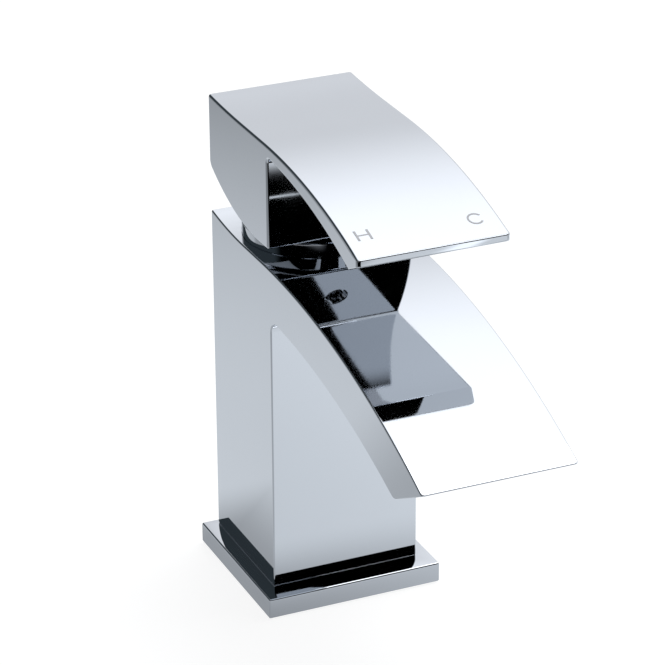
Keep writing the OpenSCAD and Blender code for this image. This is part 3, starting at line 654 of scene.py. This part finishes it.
class TAP_OT_collar(bpy.types.Operator):
    """Turned collar with its dome under the lever"""
    bl_idname = "tap.collar"
    bl_label = "Collar"

    def execute(self, context):
        radius = context.scene.tap_sizes.collar_width / 2 / MM
        top, wall_r, dome_r, inner_r, mouth = 102.2, 13.55, 15.2, 14.0, 9.77
        round_r, roof, chamfer = 0.6, 101.35, 0.2
        dome = arc((0, PIVOT_Z), dome_r, math.degrees(math.asin((top - PIVOT_Z) / dome_r)),
                   math.degrees(math.acos(mouth / dome_r)), 14)
        inner = arc((0, PIVOT_Z), inner_r, math.degrees(math.acos(mouth / inner_r)),
                    math.degrees(math.asin((roof - PIVOT_Z) / inner_r)), 8)
        outline = [(wall_r, COLUMN_TOP), (radius - chamfer, COLUMN_TOP),
                   (radius, COLUMN_TOP + chamfer)]
        outline += arc((radius - round_r, top - round_r), round_r, 0, 90, 6)
        outline += dome + inner + [(wall_r, roof)]
        collar = draw_loop("tap_collar", [Vector((r * MM, 0, z * MM)) for r, z in outline])
        bpy.ops.mesh.spin(steps=128, angle=2 * math.pi, center=(0, 0, 0), axis=(0, 0, 1))
        close_up(collar)
        smooth(collar)
        dress(collar, chrome())
        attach(collar, "base")
        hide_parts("collar")
        return {"FINISHED"}


def cut_rooms(lever, front):
    """Room for dome and bush inside the lever, and the hole through its block's front."""
    # Room for the collar's dome, socket of the stem's bush
    room_r, socket_w, socket_top = 16.0, 10.3, 123.65
    cut(lever, add(bpy.ops.mesh.primitive_uv_sphere_add, segments=96, ring_count=64,
                   radius=room_r * MM, location=(0, 0, PIVOT_Z * MM)))
    cut(lever, block((socket_w, socket_w, socket_top - PIVOT_Z),
                     (0, 0, (socket_top + PIVOT_Z) / 2)))
    # Hole of the grub screw and its wider mouth, cut from the front
    ahead, grub_r, grub_end, mouth_r, mouth_d = -25.0, 2.5, -5.0, 3.3, 1.6
    for radius, end in ((grub_r, grub_end), (mouth_r, front + mouth_d)):
        cut(lever, add(bpy.ops.mesh.primitive_cylinder_add, vertices=64, radius=radius * MM,
                       depth=(end - ahead) * MM, rotation=(math.pi / 2, 0, 0),
                       location=(0, (end + ahead) / 2 * MM, GRUB_Z * MM)))


class TAP_OT_lever(bpy.types.Operator):
    """Lever: block and curved plate in one, hollowed for dome, bush and grub screw"""
    bl_idname = "tap.lever"
    bl_label = "Lever"

    def execute(self, context):
        sizes = context.scene.tap_sizes
        width, reach = sizes.lever_width / MM, sizes.lever_reach / MM
        back, front = 21.3, -17.8
        plan_r, face, lip_cut, plate_t, block_low = 1.0, 1.8, 25.0, 3.2, 102.8
        under_r, low_r, fillet, heel_r, sweep_r = 143.0, 61.5, 1.5, 3.0, 330.0
        under_c, low_c = (-12.4, LEVER_TOP - plate_t - under_r), (-12.0, block_low + low_r)
        front_ys = corner_ys(-reach, plan_r, 4)
        top_z = lip_line(LEVER_TOP_C, LEVER_TOP_R, -reach, plan_r)
        lip_low = (-reach, top_z(-reach) - face)

        def lip_z(y):
            return lip_low[1] - (y + reach) * math.tan(math.radians(lip_cut))

        cove_y, heel_y = front - fillet, back - heel_r
        cove_c = (cove_y, above(under_c, under_r - fillet, cove_y))
        cove_top = toward(under_c, cove_c, under_r / (under_r - fillet))
        heel_c = (heel_y, below(low_c, low_r - heel_r, heel_y))
        heel_low = toward(low_c, heel_c, low_r / (low_r - heel_r))
        # The undercut ends where it runs into the hollow underside
        along = (math.cos(math.radians(lip_cut)), -math.sin(math.radians(lip_cut)))
        under_start = meet(lip_low, along, under_c, under_r)
        sweep_c = (0.0, LEVER_TOP + sweep_r)
        back_z = below(sweep_c, sweep_r, back)
        front_low = below(low_c, low_r, front)

        # Side outline: from the upper back edge forward over the top, back along the underside
        outline = arc(sweep_c, sweep_r, angle_of(sweep_c, (back, back_z)), -90, 5)
        outline.append((LEVER_TOP_C[0], LEVER_TOP))
        straight = angle_of(LEVER_TOP_C, (front_ys[-1], top_z(front_ys[-1])))
        outline += arc(LEVER_TOP_C, LEVER_TOP_R, 90, straight, 28)[1:]
        outline += [(y, top_z(y)) for y in reversed(front_ys[:-1])]
        outline += [(y, lip_z(y)) for y in front_ys]
        outline += arc(under_c, under_r, angle_of(under_c, under_start),
                       angle_of(under_c, cove_top), 24)
        outline += arc(cove_c, fillet, angle_of(cove_c, cove_top), 0, 8)
        outline += arc(low_c, low_r, angle_of(low_c, (front, front_low)),
                       angle_of(low_c, heel_low), 18)
        outline += arc(heel_c, heel_r, angle_of(heel_c, heel_low), 0, 8)
        lever = draw_band("tap_lever", spread(outline), width, plan_r, front_ys, top_z, lip_z)

        # The long edges are polished rounder than the lip
        fading, lip_weight, under_weight = (0.3, 0.6, 0.8), 0.1, 0.4
        front_weight, back_weight = 0.8, 0.7
        crease_sides(lever, front_ys, fading)
        for y, z, weight in ((-reach, top_z(-reach), lip_weight), (*lip_low, lip_weight),
                             (*under_start, under_weight), (front, front_low, front_weight),
                             (back, back_z, back_weight)):
            crease_across(lever, y, z, weight)
        bpy.ops.object.mode_set(mode="OBJECT")
        round_edges(lever, sizes.lever_edge, EDGE_STEPS, limit_method="WEIGHT")
        cut_rooms(lever, front)
        smooth(lever)
        dress(lever, chrome())
        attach(lever, "lever")
        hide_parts("lever")
        return {"FINISHED"}


class TAP_OT_letters(bpy.types.Operator):
    """The hot and cold letters, thin inlays in the lever's top"""
    bl_idname = "tap.letters"
    bl_label = "Hot and cold letters"

    def execute(self, context):
        height = context.scene.tap_sizes.letter_height / MM
        looks = context.scene.tap_finishes
        paint = finish("letter_fill", looks.letter_colour, metal=1.0, rough=0.3, grain=900.0)
        stroke, bar, gap = 0.62, 0.46, 3.32
        sink, depth, bevel = 0.12, 0.15, 0.02
        bar_low, bar_top, wide = (height - bar) / 2, (height + bar) / 2, gap + stroke
        h_outline = [(0, 0), (stroke, 0), (stroke, bar_low), (gap, bar_low), (gap, 0), (wide, 0),
                     (wide, height), (gap, height), (gap, bar_top), (stroke, bar_top),
                     (stroke, height), (0, height)]
        h_outline = [(x - wide / 2, y - height / 2) for x, y in h_outline]
        outer, inner, mouth = height / 2 + 0.22, height / 2 - 0.3, (32, 322)
        c_outline = arc((0, 0), outer, *mouth, 40) + arc((0, 0), inner, *reversed(mouth), 40)
        for name, outline, x, y in (("letter_h", h_outline, -15.2, -64.8),
                                    ("letter_c", c_outline, 14.3, -66.0)):
            lean = math.asin((y - LEVER_TOP_C[0]) / LEVER_TOP_R)
            across = Vector((1, 0, 0))
            back = Vector((0, math.cos(lean), -math.sin(lean)))
            out = Vector((0, math.sin(lean), math.cos(lean)))
            centre = Vector((x, y, above(LEVER_TOP_C, LEVER_TOP_R, y))) - out * sink
            points = [(centre + across * u + back * v) * MM for u, v in outline]
            letter = draw_prism(name, points, out * depth * MM)
            round_edges(letter, bevel * MM, 1, limit_method="ANGLE",
                        angle_limit=math.radians(50))
            smooth(letter)
            dress(letter, paint)
            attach(letter, "lever")
        return {"FINISHED"}


class TAP_OT_inner_finishes(bpy.types.Operator):
    """Finishes of the pieces that keep their CAD shape: seals, cartridge, screws and outlet"""
    bl_idname = "tap.inner_finishes"
    bl_label = "Inner finishes"

    def execute(self, context):
        looks = context.scene.tap_finishes
        rubber = finish("seal_rubber", (0.02, 0.02, 0.021), rough=0.6, relief=0.35, grain=1500.0)
        gasket = finish("gasket_rubber", (0.045, 0.045, 0.047), rough=0.7, relief=0.4,
                        grain=1200.0)
        brass = finish("machined_brass", looks.brass_colour, metal=1.0, rough=0.28,
                       rough_spread=0.06, grain=420.0)
        steel = finish("bright_steel", (0.55, 0.55, 0.56), metal=1.0, rough=0.22,
                       rough_spread=0.06, grain=500.0)
        ceramic = finish("white_ceramic", (0.82, 0.80, 0.76), rough=0.22, grain=1400.0,
                         relief=0.1)
        shell = finish("housing_plastic", (0.72, 0.72, 0.70), rough=0.42, relief=0.2)
        carrier = finish("carrier_plastic", (0.16, 0.24, 0.36), rough=0.42, relief=0.2)
        turner = finish("rotor_plastic", (0.10, 0.16, 0.25), rough=0.4, relief=0.2)
        pale = finish("outlet_plastic", (0.62, 0.63, 0.64), rough=0.38, relief=0.25)
        groups = {
            rubber: ("joint_seal", "base_seal", "disc_seal", "rotor_ring", "collar_ring",
                     "outlet_seal"),
            gasket: ("base_gasket",),
            brass: ("stem", "retaining_nut"),
            steel: ("plate_screws", "pivot_pin", "grub_screw"),
            ceramic: ("fixed_disc", "moving_disc"),
            shell: ("cartridge_housing", "housing_cap", "stem_bush"),
            carrier: ("disc_carrier",),
            turner: ("rotor",),
            pale: ("outlet_insert",),
        }
        for material, nodes in groups.items():
            for node in nodes:
                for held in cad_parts[node].material_slots:
                    held.material = material
        return {"FINISHED"}


# ---------------------------------------------------------------- stage

class TAP_OT_stage(bpy.types.Operator):
    """Floor with a painted reflection, studio light and camera"""
    bl_idname = "tap.stage"
    bl_label = "Stage"

    def execute(self, context):
        self.floor()
        self.world()
        self.softbox()
        self.camera()
        context.scene.view_settings.view_transform = "Standard"
        return {"FINISHED"}

    def floor(self):
        """A floor that the camera and the metal see differently: the metal sees a painted
        reflection on it.
        """
        floor = add(bpy.ops.mesh.primitive_plane_add, size=12, location=(0, 0, 0))
        floor.name = "floor"
        material = bpy.data.materials.new("pale_floor_painted_reflection")
        material.use_nodes = True
        s = Shader(material.node_tree)
        # What the camera and diffuse light see: pale cloth that keeps the tap's shadow
        tone = tuple(bpy.context.scene.tap_finishes.floor_colour)
        cloth_share, glow, painted_reflection_colour = 0.3, 0.87, (0.955, 1, 1.045, 1)
        cloth = s.add("ShaderNodeBsdfDiffuse", {
            "Color": tuple(c * cloth_share for c in tone) + (1,)})
        lit = s.add("ShaderNodeEmission", {"Strength": s.times(s.seen(), glow)})
        pale = s.add("ShaderNodeAddShader", {0: cloth.outputs[0], 1: lit.outputs[0]})
        # What the metal sees: a painted reflection, an emission on the floor that only glossy
        # rays see
        painted_reflection = s.add("ShaderNodeEmission", {
            "Color": painted_reflection_colour, "Strength": self.painted_reflection_level(s)})
        path = s.add("ShaderNodeLightPath")
        both = s.add("ShaderNodeMixShader", {
            0: path.outputs["Is Glossy Ray"], 1: pale.outputs[0], 2: painted_reflection.outputs[0]})
        s.add("ShaderNodeOutputMaterial", {"Surface": both.outputs[0]})
        dress(floor, material)

    def painted_reflection_level(self, s):
        """Brightness of the painted reflection over the floor, in metres: painted light round the
        tap, fading to dark further off.
        """
        place = s.add("ShaderNodeTexCoord").outputs["Object"]
        x, y = s.add("ShaderNodeSeparateXYZ", {0: place}).outputs[:2]
        # The painted reflection is lighter on the right and ends in front of the tap
        level = s.times(s.ramp(x, -0.08, 0.17, 0.81, 1.13), s.ramp(y, -0.27, -0.22))
        # The painted reflection fades with the distance, sooner on the left
        distance = s.add("ShaderNodeVectorMath", {0: place}, operation="LENGTH").outputs["Value"]
        away = s.math("SUBTRACT", distance, s.times(x, 0.5))
        level = s.times(level, s.ramp(away, 0.15, 0.60, 1.05, 0.42))
        # Painted shade in the reflection close to the base plate, more so on the left
        half_width, half_depth, middle = 0.025, 0.0241, -0.002
        beside = s.math("SUBTRACT", s.math("ABSOLUTE", x), half_width)
        before = s.math("SUBTRACT", s.math("ABSOLUTE", s.math("SUBTRACT", y, middle)), half_depth)
        painted_shade = s.ramp(s.math("MAXIMUM", beside, before), 0.0, 0.03,
                       s.ramp(x, -0.03, 0.06, 0.53, 0.82))
        # Painted shade in the reflection: darker to the left of the spout
        corner = s.math("ADD", y, s.times(x, 0.9))
        left = s.ramp(x, -0.06, -0.02, s.ramp(corner, -0.05, 0.005, 0.67, 1.0), shape="LINEAR")
        level = s.times(level, painted_shade, left)
        # A painted highlight: a light strip far in front, with a brighter spot, shows in the
        # lever's lip
        strip = s.times(s.ramp(y, -0.40, -0.38), s.ramp(y, -0.312, -0.299, 1.0, 0.0),
                        s.ramp(x, 0.07, 0.10, 0.0, 0.95))
        painted_spot = s.times(s.ramp(x, 0.122, 0.134, 0.0, 0.75), s.ramp(x, 0.138, 0.146, 1.0, 0.0))
        return s.math("MAXIMUM", level, s.times(strip, s.math("ADD", painted_spot, 1.0)))

    def world(self):
        """The studio that the metal reflects, by the direction of the light."""
        world = bpy.data.worlds.new("studio")
        bpy.context.scene.world = world
        world.use_nodes = True
        s = Shader(world.node_tree)
        toward_light = s.add("ShaderNodeTexCoord").outputs["Generated"]
        x, y, z = s.add("ShaderNodeSeparateXYZ", {0: toward_light}).outputs
        white, slate_colour, slate_level = (0.985, 1, 1.03, 1), (0.78, 1, 1.12, 1), 0.062
        # A large soft ceiling that grows brighter overhead, behind and to the right of the tap
        level = s.ramp(z, 0.33, 0.88, 0.92, 1.75)
        # A black flag in front and a slate one at the back left
        ahead, aside = s.ramp(y, -0.22, 0.03), s.ramp(x, -0.14, 0.28)
        light = s.add("ShaderNodeBackground", {"Color": white, "Strength": s.times(level, ahead)})
        slate = s.add("ShaderNodeBackground", {
            "Color": slate_colour, "Strength": s.times(slate_level, ahead)})
        main = s.add("ShaderNodeMixShader", {
            0: aside, 1: slate.outputs[0], 2: light.outputs[0]})
        # Dimmer panels for the other sides: low ones at the left and the front left, one at the
        # right and one overhead
        front_left = s.times(s.ramp(x, -0.30, -0.02, 0.5, 0.0), s.ramp(y, -0.35, -0.10, 1.0, 0.0))
        panels = s.math("MAXIMUM", front_left, s.ramp(x, -0.72, -0.52, 0.5, 0.0))
        panels = s.times(panels, s.ramp(z, 0.20, 0.32, 1.0, 0.0))
        panels = s.math("MAXIMUM", panels, s.ramp(x, 0.64, 0.85, 0.0, 0.8))
        panels = s.math("MAXIMUM", panels, s.ramp(z, 0.88, 0.96))
        unlit = s.math("SUBTRACT", 1.0, s.times(ahead, aside))
        fill = s.add("ShaderNodeBackground", {"Color": white, "Strength": s.times(panels, unlit)})
        around = s.add("ShaderNodeAddShader", {0: main.outputs[0], 1: fill.outputs[0]})
        # The camera sees plain white
        plain = s.add("ShaderNodeBackground", {"Color": (1, 1, 1, 1), "Strength": 1.0})
        both = s.add("ShaderNodeMixShader", {
            0: s.seen(), 1: around.outputs[0], 2: plain.outputs[0]})
        s.add("ShaderNodeOutputWorld", {"Surface": both.outputs[0]})

    def softbox(self):
        """One large lamp above the front right, for the floor's shadow."""
        light = bpy.data.lights.new("softbox", "AREA")
        light.shape, light.size, light.energy = "SQUARE", 0.9, 6.0
        lamp = bpy.data.objects.new("softbox", light)
        bpy.context.collection.objects.link(lamp)
        lamp.location, target = (0.5, -0.2, 1.5), Vector((0, 0, 0.05))
        aim = target - lamp.location
        lamp.rotation_euler = aim.to_track_quat("-Z", "Y").to_euler()

    def camera(self):
        """The photograph's view, fitted to the corners and curves of the tap."""
        data = bpy.data.cameras.new("photo_view")
        data.sensor_width, data.lens = 36.0, 173.31
        data.clip_start, data.clip_end = 0.05, 30.0
        camera = bpy.data.objects.new("photo_view", data)
        bpy.context.collection.objects.link(camera)
        place = (-0.30834, -0.71068, 0.42454)
        right = (0.91387, -0.40596, -0.00542)
        up = (0.17404, 0.37967, 0.90860)
        backwards = (-0.36680, -0.83129, 0.41763)
        turn = Matrix((right, up, backwards)).transposed()
        camera.matrix_world = Matrix.Translation(place) @ turn.to_4x4()
        bpy.context.scene.camera = camera


class TAP_PT_panel(bpy.types.Panel):
    """Lists the pieces and their values"""
    bl_idname = "TAP_PT_panel"
    bl_label = "Mixer tap"
    bl_space_type = "VIEW_3D"
    bl_region_type = "UI"
    bl_category = "Mixer tap"

    def draw(self, context):
        for group in (context.scene.tap_sizes, context.scene.tap_finishes):
            box = self.layout.box()
            for name in group.__annotations__:
                box.prop(group, name)
        for operator in PIECES:
            self.layout.operator(operator.bl_idname)


PIECES = (TAP_OT_body, TAP_OT_base_plate, TAP_OT_collar, TAP_OT_lever, TAP_OT_letters,
          TAP_OT_inner_finishes, TAP_OT_stage)
CLASSES = (TapSizes, TapFinishes) + PIECES + (TAP_PT_panel,)


def register():
    for cls in CLASSES:
        bpy.utils.register_class(cls)
    bpy.types.Scene.tap_sizes = PointerProperty(type=TapSizes)
    bpy.types.Scene.tap_finishes = PointerProperty(type=TapFinishes)


def unregister():
    del bpy.types.Scene.tap_finishes
    del bpy.types.Scene.tap_sizes
    for cls in reversed(CLASSES):
        bpy.utils.unregister_class(cls)


def main():
    register()
    bpy.ops.tap.body()
    bpy.ops.tap.base_plate()
    bpy.ops.tap.collar()
    bpy.ops.tap.lever()
    bpy.ops.tap.letters()
    bpy.ops.tap.inner_finishes()
    bpy.ops.tap.stage()
    bpy.context.view_layer.update()
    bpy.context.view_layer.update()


if __name__ == "__main__":
    main()
